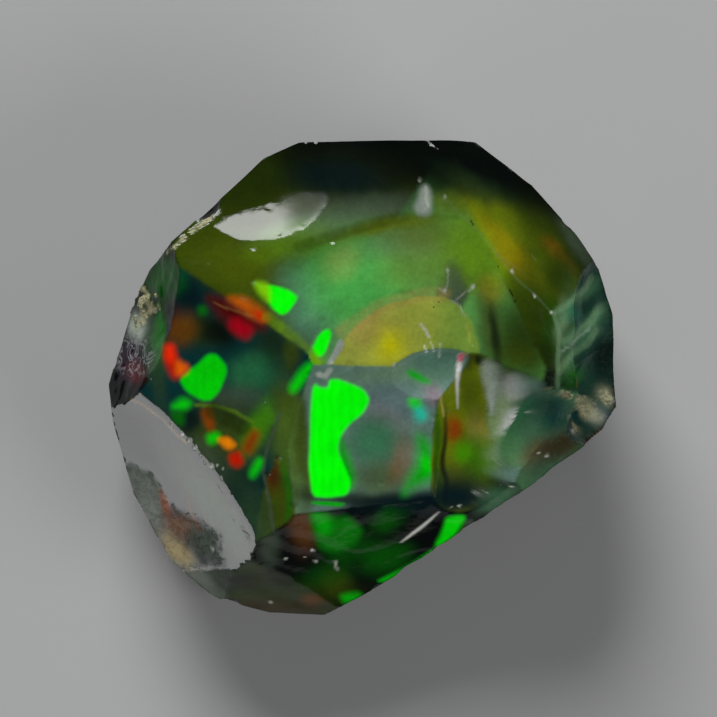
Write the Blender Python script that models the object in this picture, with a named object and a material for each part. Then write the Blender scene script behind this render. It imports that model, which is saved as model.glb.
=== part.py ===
"""A piece of rough opal, about 18 mm across, lying on its flat back.

The stone is a rounded nodule with a bumpy skin. Every face on it is a break: a shell-shaped scoop where
the opal fractured, or a flatter one along its outline. Here the nodule is a squashed sphere, and each
break is an ellipsoid or a block that is cut away from it.

X is to the right and Y is up in the view of the finished face, and +Z comes out of that face.
The origin is on the flat back, under the middle of the stone.
"""
import math

import bpy
from mathutils import Matrix, Vector, noise

MM = 0.001

# The whole nodule, before it broke: its middle and its half sizes.
NODULE_CENTRE = Vector((-0.3, -0.1, 4.7)) * MM
NODULE_RADII = Vector((11.0, 11.3, 6.0)) * MM
NODULE_LEVELS = 5

# The nodule's own skin is bumpy: height of the bumps and how far apart they are.
SKIN_HEIGHT = 0.09 * MM
SKIN_PITCH = 2.2 * MM

# Shell-shaped breaks. Each is an ellipsoid that bites into the stone. The columns are the name, the
# deepest point (mm), the way that the break faces as azimuth from +X and tilt from +Z (degrees), the
# ellipsoid's radii along, across and deep (mm), and the turn of its long direction from +X (degrees).
SCOOPS = [
    # The large smooth upper face, with one scar inside the other.
    ("brow", (-3.55, 5.30, 8.38), 110, 17, (150, 150, 150), 0),
    ("crown", (2.50, 3.20, 9.15), 68, 14, (26, 26, 26), 0),
    ("bloom", (1.90, 2.20, 9.02), 55, 11, (22, 22, 22), 0),
    ("eye", (2.25, 1.05, 9.02), 80, 8, (12, 12, 12), 0),
    ("shoulder", (6.55, 3.75, 7.55), 34, 40, (30, 30, 30), 0),
    ("glint", (-3.94, 6.36, 7.81), 110, 17, (11.5, 7.75, 12.0), 8),
    ("plate", (3.37, 3.51, 8.69), 60, 3, (5.0, 3.6, 6.0), 70),
    # The left face and the clear window beside it.
    ("left", (-4.60, -0.45, 8.14), 208, 29, (150, 150, 150), 0),
    ("fold", (-2.60, -3.30, 8.20), 240, 28, (8.5, 3.2, 2.5), 96),
    ("window", (0.70, -1.95, 7.98), 286, 25, (14, 11, 8), 90),
    # Flutes and a chip that run down from the crest, and the hackly face at their right.
    ("flute", (3.62, -1.60, 7.38), 281, 27, (4.8, 1.6, 1.8), 88),
    ("crest_chip", (2.40, 0.50, 8.50), 285, 25, (3.8, 2.8, 6.0), 15),
    ("second_flute", (4.45, -1.10, 7.85), 290, 32, (2.7, 1.0, 1.5), 82),
    ("third_flute", (5.40, -1.60, 7.95), 298, 37, (2.3, 0.95, 1.4), 72),
    ("low_right", (6.20, -2.15, 8.20), 305, 41, (40, 40, 40), 0),
    # The lower faces, down to the edge.
    ("toe", (0.50, -5.45, 6.07), 283, 44, (24, 24, 24), 0),
    ("flake", (2.45, -5.70, 5.85), 290, 52, (3.6, 1.2, 2.0), 32),
    ("heel", (-1.60, -7.45, 5.10), 266, 56, (20, 20, 20), 0),
    ("mirror", (-6.50, -3.55, 5.97), 212, 42, (40, 40, 40), 0),
    ("instep", (-4.90, -7.25, 5.35), 236, 56, (18, 18, 18), 0),
    # Chips and notches along the edges.
    ("left_edge", (-8.00, 1.45, 6.00), 174, 52, (14, 14, 14), 0),
    ("foot_notch", (-4.75, -7.75, 4.20), 262, 84, (0.7, 0.8, 1.6), 60),
    ("brow_notch", (-5.25, 5.90, 7.90), 134, 88, (1.2, 0.9, 2.0), 60),
    ("upper_chip", (8.00, 3.40, 6.15), 350, 50, (3.0, 1.5, 2.4), 52),
    ("middle_chip", (7.90, 2.00, 6.45), 342, 50, (3.0, 1.5, 2.2), 46),
    ("lower_chip", (7.95, 0.55, 6.30), 334, 52, (2.8, 1.4, 2.0), 42),
    # The back, which slopes in all round to the flat that the stone lies on.
    ("back_right", (7.30, 1.20, 2.30), 12, 122, (16, 16, 16), 0),
    ("back_top", (1.80, 6.90, 2.10), 74, 126, (14, 14, 14), 0),
    ("back_left", (-7.20, 2.70, 2.00), 158, 124, (18, 18, 18), 0),
    ("back_low_left", (-5.90, -5.80, 1.20), 226, 127, (15, 15, 15), 0),
    ("back_foot", (1.00, -7.10, 1.80), 280, 126, (17, 17, 17), 0),
]

# Flat breaks along the outline, which lean in a little towards the back: name, a point on the break
# (mm), azimuth and tilt (degrees).
FLATS = [
    ("chord", (6.30, -3.42, 6.3), 307, 96),
    ("low_chord", (2.25, -6.50, 4.4), 300, 96),
    ("bottom", (-2.60, -8.42, 3.6), 268, 96),
    ("bottom_corner", (-4.00, -8.18, 3.8), 251, 96),
    ("low_left_ledge", (-6.30, -6.98, 4.4), 229, 96),
    ("low_left", (-7.65, -5.14, 4.6), 209, 96),
    ("left_foot", (-8.55, -2.90, 5.0), 194, 96),
    ("left_side", (-8.98, -1.00, 5.3), 188, 96),
    ("high_left", (-8.62, 1.35, 5.6), 161, 96),
    ("upper_left", (-7.65, 3.70, 6.2), 150, 96),
    ("brow_edge", (-5.45, 6.05, 7.6), 133, 96),
    ("top_corner", (-3.05, 8.12, 7.8), 114, 96),
    ("top", (0.60, 8.45, 7.4), 90, 96),
    ("shoulder_edge", (5.25, 7.60, 7.2), 56, 96),
    ("right_bow", (6.85, 6.22, 7.0), 43, 96),
    ("right_upper", (8.05, 4.75, 6.6), 35, 96),
    ("right_chip_edge", (8.72, 3.40, 6.2), 17, 96),
    ("right_side", (9.03, 1.20, 6.0), 2, 96),
    ("right_foot", (8.62, -1.62, 6.0), 325, 96),
    ("base", (0.0, 0.0, 0.0), 0, 180),
]
FLAT_SIZE = 30 * MM

# Lumps of sandy crust that are stuck on the edges: place (mm) and radii (mm).
CRUST = [
    ((-7.70, 2.45, 6.33), (0.36, 0.55, 0.26)),
    ((7.85, -0.86, 6.32), (0.50, 0.34, 0.20)),
    ((8.28, -1.12, 6.28), (0.40, 0.30, 0.20)),
    ((8.56, -0.56, 6.03), (0.30, 0.34, 0.22)),
    ((7.44, -0.64, 6.60), (0.30, 0.18, 0.18)),
]


def clear_scene():
    for obj in list(bpy.data.objects):
        bpy.data.objects.remove(obj)


def new_collection(name):
    collection = bpy.data.collections.new(name)
    bpy.context.scene.collection.children.link(collection)
    return collection


def move_to(obj, collection):
    for owner in list(obj.users_collection):
        owner.objects.unlink(obj)
    collection.objects.link(obj)


def facing(azimuth, tilt):
    """Unit vector that leans from +Z by the tilt, towards the azimuth."""
    around = math.radians(azimuth)
    lean = math.radians(tilt)
    return Vector((math.cos(around) * math.sin(lean), math.sin(around) * math.sin(lean), math.cos(lean)))


def turned_frame(place, normal, turn):
    """Matrix at a place, with Z along the normal and X as near as it can be to the turned direction."""
    heading = math.radians(turn)
    wanted = Vector((math.cos(heading), math.sin(heading), 0.0))
    along = (wanted - normal * wanted.dot(normal)).normalized()
    across = normal.cross(along)
    frame = Matrix((along, across, normal)).transposed().to_4x4()
    return Matrix.Translation(place) @ frame


def opal_material():
    material = bpy.data.materials.new("dark_opal")
    material.use_nodes = True
    shader = material.node_tree.nodes["Principled BSDF"]
    shader.inputs["Base Color"].default_value = (0.035, 0.11, 0.045, 1.0)
    shader.inputs["Roughness"].default_value = 0.12
    shader.inputs["Metallic"].default_value = 0.0
    return material


def make_nodule(collection):
    """The unbroken nodule: a squashed sphere whose skin is pushed in and out by smooth noise."""
    bpy.ops.mesh.primitive_ico_sphere_add(subdivisions=NODULE_LEVELS, radius=1.0)
    nodule = bpy.context.object
    nodule.name = "rough_opal"
    for vertex in nodule.data.vertices:
        outward = vertex.co.normalized()
        point = Vector(a * b for a, b in zip(outward, NODULE_RADII))
        bump = noise.noise(point / SKIN_PITCH) * SKIN_HEIGHT
        vertex.co = NODULE_CENTRE + point + outward * bump
    nodule.data.materials.append(opal_material())
    move_to(nodule, collection)
    return nodule


def mark_as_cutter(obj, name, collection):
    obj.name = name
    obj.hide_render = True
    obj.display_type = "WIRE"
    move_to(obj, collection)


def add_scoop(name, place, azimuth, tilt, radii, turn, collection):
    """An ellipsoid whose nearest point to the stone's middle is the deepest point of the break."""
    normal = facing(azimuth, tilt)
    levels = 5 if max(radii) > 20 else 4
    bpy.ops.mesh.primitive_ico_sphere_add(subdivisions=levels, radius=1.0)
    scoop = bpy.context.object
    along, across, deep = (radius * MM for radius in radii)
    middle = Vector(place) * MM + normal * deep
    shape = Matrix.Diagonal((along, across, deep, 1.0))
    scoop.data.transform(turned_frame(middle, normal, turn) @ shape)
    mark_as_cutter(scoop, name, collection)


def add_flat(name, place, azimuth, tilt, collection):
    """A block whose lower face lies on the flat break."""
    normal = facing(azimuth, tilt)
    bpy.ops.mesh.primitive_cube_add(size=FLAT_SIZE)
    block = bpy.context.object
    middle = Vector(place) * MM + normal * (FLAT_SIZE / 2)
    block.data.transform(turned_frame(middle, normal, azimuth + 90))
    mark_as_cutter(block, name, collection)


def add_crust(number, place, radii, collection):
    bpy.ops.mesh.primitive_ico_sphere_add(subdivisions=3, radius=1.0)
    lump = bpy.context.object
    middle = Vector(place) * MM
    for vertex in lump.data.vertices:
        point = Vector(a * b * MM for a, b in zip(vertex.co, radii))
        bump = 1.0 + 0.35 * noise.noise(vertex.co * 1.7 + Vector((number, 0.0, 0.0)))
        vertex.co = middle + point * bump
    mark_as_cutter(lump, f"crust_{number}", collection)


def apply_boolean(obj, name, operation, collection):
    change = obj.modifiers.new(name, "BOOLEAN")
    change.operation = operation
    change.operand_type = "COLLECTION"
    change.collection = collection
    change.solver = "EXACT"


clear_scene()
stone_collection = new_collection("rough_opal")
break_collection = new_collection("breaks")
crust_collection = new_collection("crust")

stone = make_nodule(stone_collection)
for name, place, azimuth, tilt, radii, turn in SCOOPS:
    add_scoop(name, place, azimuth, tilt, radii, turn, break_collection)
for name, place, azimuth, tilt in FLATS:
    add_flat(name, place, azimuth, tilt, break_collection)
for number, (place, radii) in enumerate(CRUST):
    add_crust(number, place, radii, crust_collection)
apply_boolean(stone, "breaks", "DIFFERENCE", break_collection)
apply_boolean(stone, "crust", "UNION", crust_collection)
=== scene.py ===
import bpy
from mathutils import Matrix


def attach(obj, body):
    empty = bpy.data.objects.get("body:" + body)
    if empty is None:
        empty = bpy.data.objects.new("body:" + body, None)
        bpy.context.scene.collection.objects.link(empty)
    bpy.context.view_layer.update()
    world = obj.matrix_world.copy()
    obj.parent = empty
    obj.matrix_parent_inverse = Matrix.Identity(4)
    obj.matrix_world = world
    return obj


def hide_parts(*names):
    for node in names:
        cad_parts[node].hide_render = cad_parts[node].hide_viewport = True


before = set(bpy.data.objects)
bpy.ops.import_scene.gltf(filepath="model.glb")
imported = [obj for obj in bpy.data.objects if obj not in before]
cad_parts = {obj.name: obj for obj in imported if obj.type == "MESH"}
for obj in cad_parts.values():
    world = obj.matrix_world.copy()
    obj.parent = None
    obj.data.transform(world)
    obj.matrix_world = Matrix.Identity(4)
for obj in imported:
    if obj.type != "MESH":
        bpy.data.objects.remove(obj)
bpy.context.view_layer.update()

import itertools
import math

import bmesh
import bpy
import numpy as np
from mathutils import Vector

MM = 0.001


# The surface below the stone: a plain sheet of grey matt board.
# It is large enough that its edge never shows, and a faint mottle keeps it from looking flat.

FLOOR_SIZE = 900 * MM
FLOOR_PALE = (0.53, 0.53, 0.53, 1.0)
FLOOR_DARK = (0.49, 0.49, 0.495, 1.0)


def floor_material():
    material = bpy.data.materials.new("matt_board")
    material.use_nodes = True
    nodes = material.node_tree.nodes
    links = material.node_tree.links
    shader = nodes["Principled BSDF"]
    place = nodes.new("ShaderNodeTexCoord")
    mottle = nodes.new("ShaderNodeTexNoise")
    mottle.inputs["Scale"].default_value = 60.0
    mottle.inputs["Detail"].default_value = 4.0
    blend = nodes.new("ShaderNodeMix")
    blend.data_type = "RGBA"
    blend.inputs["A"].default_value = FLOOR_DARK
    blend.inputs["B"].default_value = FLOOR_PALE
    links.new(place.outputs["Object"], mottle.inputs["Vector"])
    links.new(mottle.outputs["Fac"], blend.inputs["Factor"])
    links.new(blend.outputs["Result"], shader.inputs["Base Color"])
    shader.inputs["Roughness"].default_value = 0.9
    return material


bpy.ops.mesh.primitive_plane_add(size=FLOOR_SIZE)
board = bpy.context.object
board.name = "pale_board"
board.data.materials.append(floor_material())


# The form of the stone: one rounded nodule of opal, broken by hand into a gem cutter's piece of rough.
# Its faces are shell-shaped breaks, and flat ones along the outline. They are worked out here as how far
# the stone reaches from a point near its middle in each direction, up to the nearest of all the breaks.

# The point that the reaches are measured from, and the nodule before it broke: middle and half sizes (mm).
CORE = np.array([0.0, 0.0, 3.2])
NODULE_CENTRE = np.array([-0.3, -0.1, 4.7])
NODULE_RADII = np.array([11.0, 11.3, 6.0])

# Name, deepest point (mm), azimuth and tilt of the way it faces (degrees), radii along, across and
# deep (mm), and the turn of its long direction (degrees). They are the breaks of the solid model.
SCOOPS = [
    ("brow", (-3.55, 5.30, 8.38), 110, 17, (150, 150, 150), 0),
    ("crown", (2.50, 3.20, 9.15), 68, 14, (26, 26, 26), 0),
    ("bloom", (1.90, 2.20, 9.02), 55, 11, (22, 22, 22), 0),
    ("eye", (2.25, 1.05, 9.02), 80, 8, (12, 12, 12), 0),
    ("shoulder", (6.55, 3.75, 7.55), 34, 40, (30, 30, 30), 0),
    ("left", (-4.60, -0.45, 8.14), 208, 29, (150, 150, 150), 0),
    ("fold", (-2.60, -3.30, 8.20), 240, 28, (8.5, 3.2, 2.5), 96),
    ("window", (0.70, -1.95, 7.98), 286, 25, (14, 11, 8), 90),
    ("flute", (3.62, -1.60, 7.38), 281, 27, (4.8, 1.6, 1.8), 88),
    ("crest_chip", (2.40, 0.50, 8.50), 285, 25, (3.8, 2.8, 6.0), 15),
    ("second_flute", (4.45, -1.10, 7.85), 290, 32, (2.7, 1.0, 1.5), 82),
    ("third_flute", (5.40, -1.60, 7.95), 298, 37, (2.3, 0.95, 1.4), 72),
    ("low_right", (6.20, -2.15, 8.20), 305, 41, (40, 40, 40), 0),
    ("toe", (0.50, -5.45, 6.07), 283, 44, (24, 24, 24), 0),
    ("flake", (2.45, -5.70, 5.85), 290, 52, (3.6, 1.2, 2.0), 32),
    ("heel", (-1.60, -7.45, 5.10), 266, 56, (20, 20, 20), 0),
    ("mirror", (-6.50, -3.55, 5.97), 212, 42, (40, 40, 40), 0),
    ("instep", (-4.90, -7.25, 5.35), 236, 56, (18, 18, 18), 0),
    ("left_edge", (-8.00, 1.45, 6.00), 174, 52, (14, 14, 14), 0),
    ("foot_notch", (-4.75, -7.75, 4.20), 262, 84, (0.7, 0.8, 1.6), 60),
    ("brow_notch", (-5.25, 5.90, 7.90), 134, 88, (1.2, 0.9, 2.0), 60),
    ("upper_chip", (8.00, 3.40, 6.15), 350, 50, (3.0, 1.5, 2.4), 52),
    ("middle_chip", (7.90, 2.00, 6.45), 342, 50, (3.0, 1.5, 2.2), 46),
    ("lower_chip", (7.95, 0.55, 6.30), 334, 52, (2.8, 1.4, 2.0), 42),
    ("back_right", (7.30, 1.20, 2.30), 12, 122, (16, 16, 16), 0),
    ("back_top", (1.80, 6.90, 2.10), 74, 126, (14, 14, 14), 0),
    ("back_left", (-7.20, 2.70, 2.00), 158, 124, (18, 18, 18), 0),
    ("back_low_left", (-5.90, -5.80, 1.20), 226, 127, (15, 15, 15), 0),
    ("back_foot", (1.00, -7.10, 1.80), 280, 126, (17, 17, 17), 0),
]

# Flat breaks along the outline, and the base that it rests on: name, a point on the break (mm), azimuth
# and tilt of the way that it faces (degrees). They are those of the solid model too.
FLATS = [
    ("chord", (6.30, -3.42, 6.3), 307, 96),
    ("low_chord", (2.25, -6.50, 4.4), 300, 96),
    ("bottom", (-2.60, -8.42, 3.6), 268, 96),
    ("bottom_corner", (-4.00, -8.18, 3.8), 251, 96),
    ("low_left_ledge", (-6.30, -6.98, 4.4), 229, 96),
    ("low_left", (-7.65, -5.14, 4.6), 209, 96),
    ("left_foot", (-8.55, -2.90, 5.0), 194, 96),
    ("left_side", (-8.98, -1.00, 5.3), 188, 96),
    ("high_left", (-8.62, 1.35, 5.6), 161, 96),
    ("upper_left", (-7.65, 3.70, 6.2), 150, 96),
    ("brow_edge", (-5.45, 6.05, 7.6), 133, 96),
    ("top_corner", (-3.05, 8.12, 7.8), 114, 96),
    ("top", (0.60, 8.45, 7.4), 90, 96),
    ("shoulder_edge", (5.25, 7.60, 7.2), 56, 96),
    ("right_bow", (6.85, 6.22, 7.0), 43, 96),
    ("right_upper", (8.05, 4.75, 6.6), 35, 96),
    ("right_chip_edge", (8.72, 3.40, 6.2), 17, 96),
    ("right_side", (9.03, 1.20, 6.0), 2, 96),
    ("right_foot", (8.62, -1.62, 6.0), 325, 96),
    ("base", (0.0, 0.0, 0.0), 0, 180),
]

# Two shallow chips, which are set by how deep they lie: place in the top view (mm), depth below the
# surface (mm), the way that the chip faces (degrees), its radii (mm) and its turn (degrees).
CHIPS = [
    ("glint", (-3.50, 6.45), 0.215, 110, 17, (11.5, 7.75, 12.0), 8),
    ("plate", (3.38, 3.50), 0.05, 60, 3, (5.0, 3.6, 6.0), 70),
]

# Fresh opal breaks glassy, with faint ripples round the blow: height of the waves (mm), how far apart
# they are (mm) and the blow's place in the top view (mm).
RIPPLES = {
    "brow": (0.004, 1.9, (2.0, 0.5)),
    "crown": (0.006, 1.5, (2.0, 0.6)),
    "bloom": (0.005, 1.3, (2.0, 0.6)),
    "eye": (0.004, 0.9, (2.0, 0.3)),
    "shoulder": (0.008, 1.1, (2.0, 0.6)),
    "left": (0.005, 1.5, (-1.2, 0.5)),
    "window": (0.005, 1.2, (0.5, 0.8)),
    "mirror": (0.003, 1.8, (-12.0, -9.0)),
}
PLAIN_RIPPLE = (0.012, 0.9, (0.0, 0.0))
CHIP_RIPPLE = (0.0, 1.0, (0.0, 0.0))
CHIP_NAMES = [row[0] for row in CHIPS]
RIPPLE_WANDER = 0.9

# It breaks hackly where the break ran slowly: height of the hackle (mm), and the noise's pitch (1/mm).
# The nodule's own skin is lumpy: height and pitch of its lumps (mm).
HACKLY = {"low_right": 0.022, "second_flute": 0.005, "third_flute": 0.005, "flute": 0.006, "toe": 0.008,
          "heel": 0.02, "instep": 0.03, "left_edge": 0.05, "upper_chip": 0.02, "middle_chip": 0.02,
          "lower_chip": 0.02, "mirror": 0.004, "fold": 0.006, "flake": 0.01, "chord": 0.05}
GLASSY_HACKLE = 0.006
BACK_HACKLE = 0.05
HACKLE_SCALE = 1.6
SKIN_HEIGHT = 0.09
SKIN_PITCH = 2.2

# Patches of sandy crust on the edges: middle and half sizes in the top view (mm), turn, and thickness.
CRUST = [
    ((-7.70, 2.75), (0.42, 0.42), 0, 0.10),
    ((-7.85, 2.25), (0.34, 0.40), 0, 0.08),
    ((7.85, -0.80), (0.46, 0.36), -10, 0.12),
    ((8.05, -1.30), (0.40, 0.22), -30, 0.10),
    ((8.60, -0.62), (0.24, 0.34), 25, 0.08),
    ((7.25, -0.55), (0.45, 0.13), -15, 0.08),
    ((6.75, -0.38), (0.22, 0.10), -25, 0.06),
    ((7.55, -1.75), (0.12, 0.28), 15, 0.06),
]

# Thin crust along the edges: height and half width (mm), then the path in the top view (mm).
CRUST_LINES = [
    (0.03, 0.06, [(-5.25, 5.85), (-5.60, 5.60), (-6.05, 5.28)]),
    (0.03, 0.05, [(-6.30, 5.05), (-6.90, 4.58)]),
    (0.04, 0.08, [(6.70, -0.36), (7.05, -0.52), (7.40, -0.60)]),
    (0.03, 0.07, [(7.40, -1.30), (7.55, -1.90)]),
]

# The mesh is a cube's grid blown up to a ball. Its points crowd towards the finished face.
GRID_CUTS = 126
FRONT_PULL = 0.55
SPREAD_MIDDLE = np.array([0.0, 0.0, 4.8])
SPREAD_RADII = np.array([9.3, 8.7, 5.0])
FRONT_HEIGHT = 3.5

# Points that pass this near a ridge (mm) are drawn onto it, by at most this part of a mesh cell.
RIDGE_CATCH = 0.15
RIDGE_SHIFT = 0.55
SLOPE_STEP = 0.002

# A reach where the break isn't met (mm), one past which its relief can't matter (mm), and the least
# closing speed with which a flat break is still met.
MISSED = 99.0
IN_REACH = 30.0
GRAZING = 1e-3

# How crisp the ridges are, and the angle from which they are shaded as an edge (degrees).
EDGE_SHARPNESS = 45.0
SOFT_EDGE_SHARPNESS = 14.0
SOFT_FACES = ("brow", "crown", "bloom", "shoulder")
SHARP_ANGLE = 35.0


def facing(azimuth, tilt):
    """Unit vector that leans from +Z by the tilt, towards the azimuth."""
    around, lean = math.radians(azimuth), math.radians(tilt)
    return np.array([math.cos(around) * math.sin(lean), math.sin(around) * math.sin(lean), math.cos(lean)])


def corner_value(x, y, z, seed):
    """A fixed pseudo-random value from -1 to 1 for each whole-numbered corner."""
    mixed = (x * 374761393 + y * 668265263 + z * 1440662683 + seed * 974634777) & 0xFFFFFFFF
    mixed = ((mixed ^ (mixed >> 13)) * 1274126177) & 0xFFFFFFFF
    return ((mixed ^ (mixed >> 16)) & 0xFFFF) / 32767.5 - 1.0


def smooth_noise(points, seed):
    """Smooth noise from about -1 to 1 that changes over a distance of one."""
    cell = np.floor(points).astype(np.int64)
    part = points - cell
    part = part * part * part * (part * (part * 6 - 15) + 10)
    total = 0.0
    for sides in itertools.product((0, 1), repeat=3):
        share = np.ones(len(points))
        for axis, side in enumerate(sides):
            share = share * (part[:, axis] if side else 1 - part[:, axis])
        total = total + share * corner_value(*(cell + sides).T, seed)
    return total


def rough_noise(points, seed, octaves=3):
    """Noise that has finer and fainter noise laid over it."""
    total = 0.0
    for octave in range(octaves):
        total = total + smooth_noise(points * 2.0 ** octave + 17.3 * octave, seed + octave) * 0.5 ** octave
    return total


def reach_ellipsoid(ways, middle, to_unit, far=False):
    """How far along each way from the core a stretched ball is met, or a long way where it is missed."""
    start = to_unit @ (CORE - middle)
    step = ways @ to_unit.T
    a = (step * step).sum(-1)
    b = step @ start
    c = start @ start - 1.0
    inside = b * b - a * c
    root = np.sqrt(np.maximum(inside, 0.0))
    length = (-b + root) / a if far else (-b - root) / a
    return np.where((inside > 0) & (length > 0), length, MISSED)


def stretched(normal, turn, radii):
    """Matrix that turns an ellipsoid with these radii into a unit ball."""
    heading = math.radians(turn)
    wanted = np.array([math.cos(heading), math.sin(heading), 0.0])
    along = wanted - normal * (wanted @ normal)
    along /= np.linalg.norm(along)
    across = np.cross(normal, along)
    return np.vstack([along / radii[0], across / radii[1], normal / radii[2]])


def relief(name, points):
    """Ripples and hackle that stand off the plain curve of one break."""
    height, pitch, blow = RIPPLES.get(name, CHIP_RIPPLE if name in CHIP_NAMES else PLAIN_RIPPLE)
    seed = sum(map(ord, name))
    wander = smooth_noise(points * 0.45, seed) * RIPPLE_WANDER
    distance = np.hypot(points[:, 0] - blow[0], points[:, 1] - blow[1]) + wander
    ripple = height * np.sin(distance * 2 * math.pi / pitch)
    hackle = HACKLY.get(name, BACK_HACKLE if name.startswith("back") else GLASSY_HACKLE)
    return ripple + hackle * rough_noise(points * HACKLE_SCALE, seed + 5)


def soft_least(reaches, sharpness):
    """The least of the reaches, with the step from one to the next rounded off a little."""
    least = reaches.min(0)
    return least - np.log(np.exp((least - reaches) * sharpness).sum(0)) / sharpness


def path_distance(x, y, path):
    """Distance in the top view from a line through some points."""
    best = np.full(len(x), 1e9)
    for (ax, ay), (bx, by) in zip(path[:-1], path[1:]):
        ex, ey = bx - ax, by - ay
        part = np.clip(((x - ax) * ex + (y - ay) * ey) / (ex * ex + ey * ey), 0, 1)
        best = np.minimum(best, np.hypot(x - ax - part * ex, y - ay - part * ey))
    return best


def cube_ball(cuts):
    """A ball made from a cube's grid, and the ways to its points, which crowd towards the finished face."""
    ball = bpy.data.meshes.new("opal_stone")
    grid = bmesh.new()
    bmesh.ops.create_cube(grid, size=2.0)
    bmesh.ops.subdivide_edges(grid, edges=grid.edges[:], cuts=cuts, use_grid_fill=True)
    grid.to_mesh(ball)
    grid.free()
    points = np.empty(len(ball.vertices) * 3)
    ball.vertices.foreach_get("co", points)
    ways = np.tan(points.reshape(-1, 3) * math.pi / 4)
    ways /= np.linalg.norm(ways, axis=1, keepdims=True)
    around = np.arctan2(ways[:, 1], ways[:, 0])
    lean = 2 * np.arctan(np.tan(np.arccos(np.clip(ways[:, 2], -1, 1)) / 2) * FRONT_PULL)
    ways = np.stack([np.cos(around) * np.sin(lean), np.sin(around) * np.sin(lean), np.cos(lean)], -1)
    ways = SPREAD_MIDDLE + SPREAD_RADII * ways - CORE
    return ball, ways / np.linalg.norm(ways, axis=1, keepdims=True)


def break_reaches(ways, chips):
    """How far the stone reaches along each way before it meets the skin and each of the breaks."""
    skin = reach_ellipsoid(ways, NODULE_CENTRE, np.diag(1 / NODULE_RADII), far=True)
    skin += SKIN_HEIGHT * rough_noise((CORE + ways * skin[:, None]) / SKIN_PITCH, 3, octaves=2)
    reaches = [skin]
    for name, place, azimuth, tilt, radii, turn in SCOOPS + chips:
        normal = facing(azimuth, tilt)
        middle = np.array(place) + normal * radii[2]
        reach = reach_ellipsoid(ways, middle, stretched(normal, turn, radii))
        near = reach < IN_REACH
        reach[near] += relief(name, CORE + ways[near] * reach[near][:, None])
        reaches.append(reach)
    for name, place, azimuth, tilt in FLATS:
        normal = facing(azimuth, tilt)
        closing = ways @ normal
        away = normal @ (np.array(place) - CORE)
        reach = np.where(closing > GRAZING, away / np.maximum(closing, GRAZING), MISSED)
        near = (reach < IN_REACH) & (name != "base")
        reach[near] += relief(name, CORE + ways[near] * reach[near][:, None])
        reaches.append(reach)
    return np.stack(reaches)


def gap_to_next(reaches):
    """How much further the second nearest break is than the nearest, which is zero on a ridge."""
    nearest = np.partition(reaches, 1, axis=0)
    return nearest[1] - nearest[0]


def drawn_to_ridges(ways, reaches, pitch, chips):
    """Moves the ways that are near a ridge onto it, so that the mesh's edges follow the ridges."""
    close = np.flatnonzero(gap_to_next(reaches) < RIDGE_CATCH)
    start = ways[close]
    order = np.argsort(reaches[:, close], axis=0)[:2]
    columns = np.arange(len(close))
    gap = reaches[order[1], close] - reaches[order[0], close]
    side = np.cross(start, [0.0, 0.0, 1.0]) + [1e-6, 0.0, 0.0]
    side /= np.linalg.norm(side, axis=1, keepdims=True)
    up = np.cross(side, start)
    slope = []
    for step in (side, up):
        moved = start + step * SLOPE_STEP
        moved /= np.linalg.norm(moved, axis=1, keepdims=True)
        there = break_reaches(moved, chips)
        slope.append((there[order[1], columns] - there[order[0], columns] - gap) / SLOPE_STEP)
    steepness = slope[0] ** 2 + slope[1] ** 2 + 1e-9
    shift = -(side * slope[0][:, None] + up * slope[1][:, None]) * (gap / steepness)[:, None]
    allowed = np.linalg.norm(shift, axis=1) < RIDGE_SHIFT * pitch[close]
    moved = start + shift
    moved /= np.linalg.norm(moved, axis=1, keepdims=True)
    result = ways.copy()
    result[close[allowed]] = moved[allowed]
    return result


stone_mesh, ways = cube_ball(GRID_CUTS)
names = ["skin"] + [row[0] for row in SCOOPS + CHIPS + FLATS]
large = CORE + ways * break_reaches(ways, []).min(0)[:, None]
front = large[:, 2] > FRONT_HEIGHT


def surface_place(x, y):
    """The point of the front surface at a place in the top view."""
    apart = np.hypot(large[:, 0] - x, large[:, 1] - y)
    return large[np.where(front, apart, MISSED).argmin()]


chips = [(name, surface_place(x, y) - facing(azimuth, tilt) * depth, azimuth, tilt, radii, turn)
         for name, (x, y), depth, azimuth, tilt, radii, turn in CHIPS]
edges = np.empty(len(stone_mesh.edges) * 2, np.int32)
stone_mesh.edges.foreach_get("vertices", edges)
edges = edges.reshape(-1, 2)
edge_length = np.linalg.norm(ways[edges[:, 0]] - ways[edges[:, 1]], axis=1)
pitch = np.bincount(edges.ravel(), np.repeat(edge_length, 2)) / np.bincount(edges.ravel())
ways = drawn_to_ridges(ways, break_reaches(ways, chips), pitch, chips)
reaches = break_reaches(ways, chips)
to_ridge = gap_to_next(reaches)
is_soft = np.array([name in SOFT_FACES for name in names])
is_flat = np.isin(names, [row[0] for row in FLATS])
blended = np.vstack([reaches[~is_soft & ~is_flat], soft_least(reaches[is_soft], SOFT_EDGE_SHARPNESS)[None]])
reach = np.minimum(soft_least(blended, EDGE_SHARPNESS), reaches[is_flat].min(0))
points = CORE + ways * reach[:, None]

# Nicks along the ridges and small pits in the faces: how many, their radii (mm), and how deep they are
# as a part of the radius. The clean edges of the mirror and of the top have none.
NICKS, NICK_RADII, NICK_DEPTH = 45, (0.07, 0.2), 0.28
PITS, PIT_RADII, PIT_DEPTH = 10, (0.06, 0.13), 0.3
TOP_EDGE = 7.9

# How far from the nearest break the next one is where a point counts as on a ridge, and as in a face (mm).
ON_RIDGE = 0.02
IN_FACE = 0.2
chance = np.random.default_rng(12)


def dents(places, count, radii, depth, highest):
    """Depth of small round dents at some of these places. None is made above the highest Y."""
    total = np.zeros(len(points))
    for index in chance.choice(places, count, replace=False):
        radius = chance.uniform(*radii)
        near = np.linalg.norm(points - points[index], axis=1) / radius
        if points[index, 1] < highest:
            total += np.where(near < 1, radius * depth * (1 - near * near), 0.0)
    return total


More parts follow.
